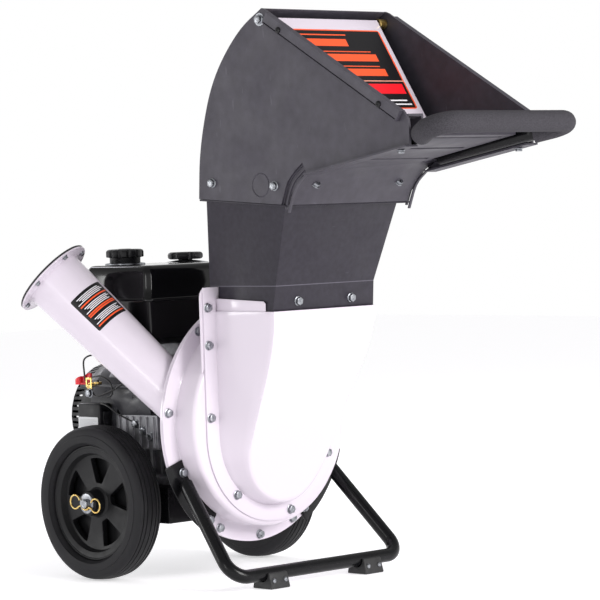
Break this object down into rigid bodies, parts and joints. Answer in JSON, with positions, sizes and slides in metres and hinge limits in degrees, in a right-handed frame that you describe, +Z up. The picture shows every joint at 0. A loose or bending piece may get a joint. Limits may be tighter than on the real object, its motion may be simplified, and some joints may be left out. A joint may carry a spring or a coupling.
{
  "type": "petrol garden shredder",
  "caption": "Wheeled garden shredder with a small petrol engine, a round knife chamber, a tall leaf hopper with a handle and a slanted branch chute.",
  "frame": {"origin": "on the ground, under the middle of the machine's bounding box", "axes": "+Z up, -Y towards the tray and handle at the front, +X to the discharge side; the shaft runs along Y"},
  "size_m": [0.537, 0.9706, 0.935],
  "materials": {
    "white_coat": "white powder coat, semi-gloss",
    "black_paint": "black gloss paint",
    "hopper_plastic": "moulded plastic with a fine grain",
    "hub_plastic": "smooth moulded plastic",
    "tyre": "solid tyre rubber",
    "rubber": "black moulded rubber",
    "foam": "soft foam",
    "plating": "bright zinc plate",
    "yellow_plating": "yellow zinc plate",
    "cast_metal": "as-cast aluminium",
    "bare_steel": "machined steel",
    "black_case": "black moulded case plastic",
    "red_plastic": "red moulded plastic"
  },
  "bodies": {
    "chassis": {"axle": "plating", "axle_clip_left": "yellow_plating", "axle_clip_right": "yellow_plating", "frame_base": "black_paint", "stand_tube": "black_paint", "stand_bracket_left": "black_paint", "stand_bracket_right": "black_paint", "stand_foot_left": "rubber", "stand_foot_right": "rubber", "housing_shell": "white_coat", "back_plate": "white_coat", "chipper_chute": "white_coat", "chute_curtain": "rubber", "feed_duct": "white_coat", "duct_back_plate": "white_coat", "discharge_spout": "white_coat", "neck": "black_paint", "hopper_side_left": "hopper_plastic", "hopper_side_right": "hopper_plastic", "hopper_rear": "hopper_plastic", "tray": "hopper_plastic", "baffle": "white_coat", "mouth_rod": "plating", "handle_tube": "black_paint", "handle_grip": "foam", "crankcase": "cast_metal", "cylinder": "cast_metal", "valve_cover": "cast_metal", "spark_plug": "black_case", "fuel_tank": "black_paint", "air_cleaner_case": "black_case", "air_cleaner_cover": "black_case", "carburettor": "cast_metal", "muffler": "bare_steel", "muffler_guard": "black_paint", "fan_shroud": "black_paint", "recoil_cover": "black_paint", "control_bracket": "yellow_plating", "switch_box": "black_case"},
    "left_wheel": {"tyre_left": "tyre", "wheel_hub_left": "hub_plastic"},
    "right_wheel": {"tyre_right": "tyre", "wheel_hub_right": "hub_plastic"},
    "rotor": {"crankshaft": "bare_steel", "impeller": "bare_steel", "chipper_knife_first": "bare_steel", "chipper_knife_second": "bare_steel", "flywheel": "cast_metal"},
    "deflector": {"discharge_deflector": "white_coat"},
    "cap": {"fuel_cap": "black_case"},
    "plug": {"oil_plug": "black_case"},
    "cleaner_knob": {"air_cleaner_knob": "black_case"},
    "choke": {"choke_lever": "black_case"},
    "fuel_valve": {"fuel_valve_lever": "black_case"},
    "throttle": {"throttle_lever": "red_plastic"},
    "governor": {"governor_arm": "yellow_plating"},
    "rocker": {"switch_rocker": "red_plastic"},
    "grip": {"starter_grip": "black_case"},
    "pulley": {"starter_pulley": "black_case"}
  },
  "joints": [
    {"name": "left_wheel_spin", "type": "hinge", "parent": "chassis", "child": "left_wheel", "pos_m": [-0.13832, 0.30429, 0.13], "axis": [1, 0, 0], "continuous": true},
    {"name": "right_wheel_spin", "type": "hinge", "parent": "chassis", "child": "right_wheel", "pos_m": [0.22968, 0.30429, 0.13], "axis": [1, 0, 0], "continuous": true},
    {"name": "rotor_spin", "type": "hinge", "parent": "chassis", "child": "rotor", "pos_m": [0.04568, 0.11829, 0.262], "axis": [0, 1, 0], "continuous": true},
    {"name": "deflector_swing", "type": "hinge", "parent": "chassis", "child": "deflector", "pos_m": [0.23967, 0.09629, 0.395], "axis": [0, 1, 0], "range_deg": [-65, 10]},
    {"name": "fuel_cap_lift", "type": "slide", "parent": "chassis", "child": "cap", "axis": [0, 0, 1], "range_m": [0, 0.03]},
    {"name": "oil_plug_pull", "type": "slide", "parent": "chassis", "child": "plug", "axis": [-1, 0, 0], "range_m": [0, 0.03]},
    {"name": "cleaner_knob_turn", "type": "hinge", "parent": "chassis", "child": "cleaner_knob", "pos_m": [0.14567, 0.37829, 0.522], "axis": [0, 0, 1], "range_deg": [0, 360]},
    {"name": "choke_turn", "type": "hinge", "parent": "chassis", "child": "choke", "pos_m": [0.15768, 0.35029, 0.437], "axis": [0, 1, 0], "range_deg": [0, 60]},
    {"name": "fuel_valve_turn", "type": "hinge", "parent": "chassis", "child": "fuel_valve", "pos_m": [0.13567, 0.35029, 0.408], "axis": [0, 1, 0], "range_deg": [-60, 0]},
    {"name": "throttle_turn", "type": "hinge", "parent": "chassis", "child": "throttle", "pos_m": [-0.09033, 0.35429, 0.324], "axis": [0, 0, 1], "range_deg": [-25, 25]},
    {"name": "governor_turn", "type": "hinge", "parent": "chassis", "child": "governor", "pos_m": [-0.04233, 0.30829, 0.255], "axis": [1, 0, 0], "range_deg": [-8, 8]},
    {"name": "switch_rock", "type": "hinge", "parent": "chassis", "child": "rocker", "pos_m": [-0.08962, 0.34029, 0.2675], "axis": [1, 0, 0], "range_deg": [-8, 8]},
    {"name": "starter_pull", "type": "slide", "parent": "chassis", "child": "grip", "axis": [1, 0, 0], "range_m": [0, 0.5], "stiffness_N_per_m": 20, "springref_m": -0.3},
    {"name": "pulley_turn", "type": "hinge", "parent": "chassis", "child": "pulley", "pos_m": [0.04568, 0.46929, 0.262], "axis": [0, 1, 0], "range_deg": [0, 960]}
  ],
  "couplings": [
    {"joint": "governor_turn", "follows": "throttle_turn", "ratio": 0.3},
    {"joint": "pulley_turn", "follows": "starter_pull", "rad_per_m": 33.333}
  ]
}
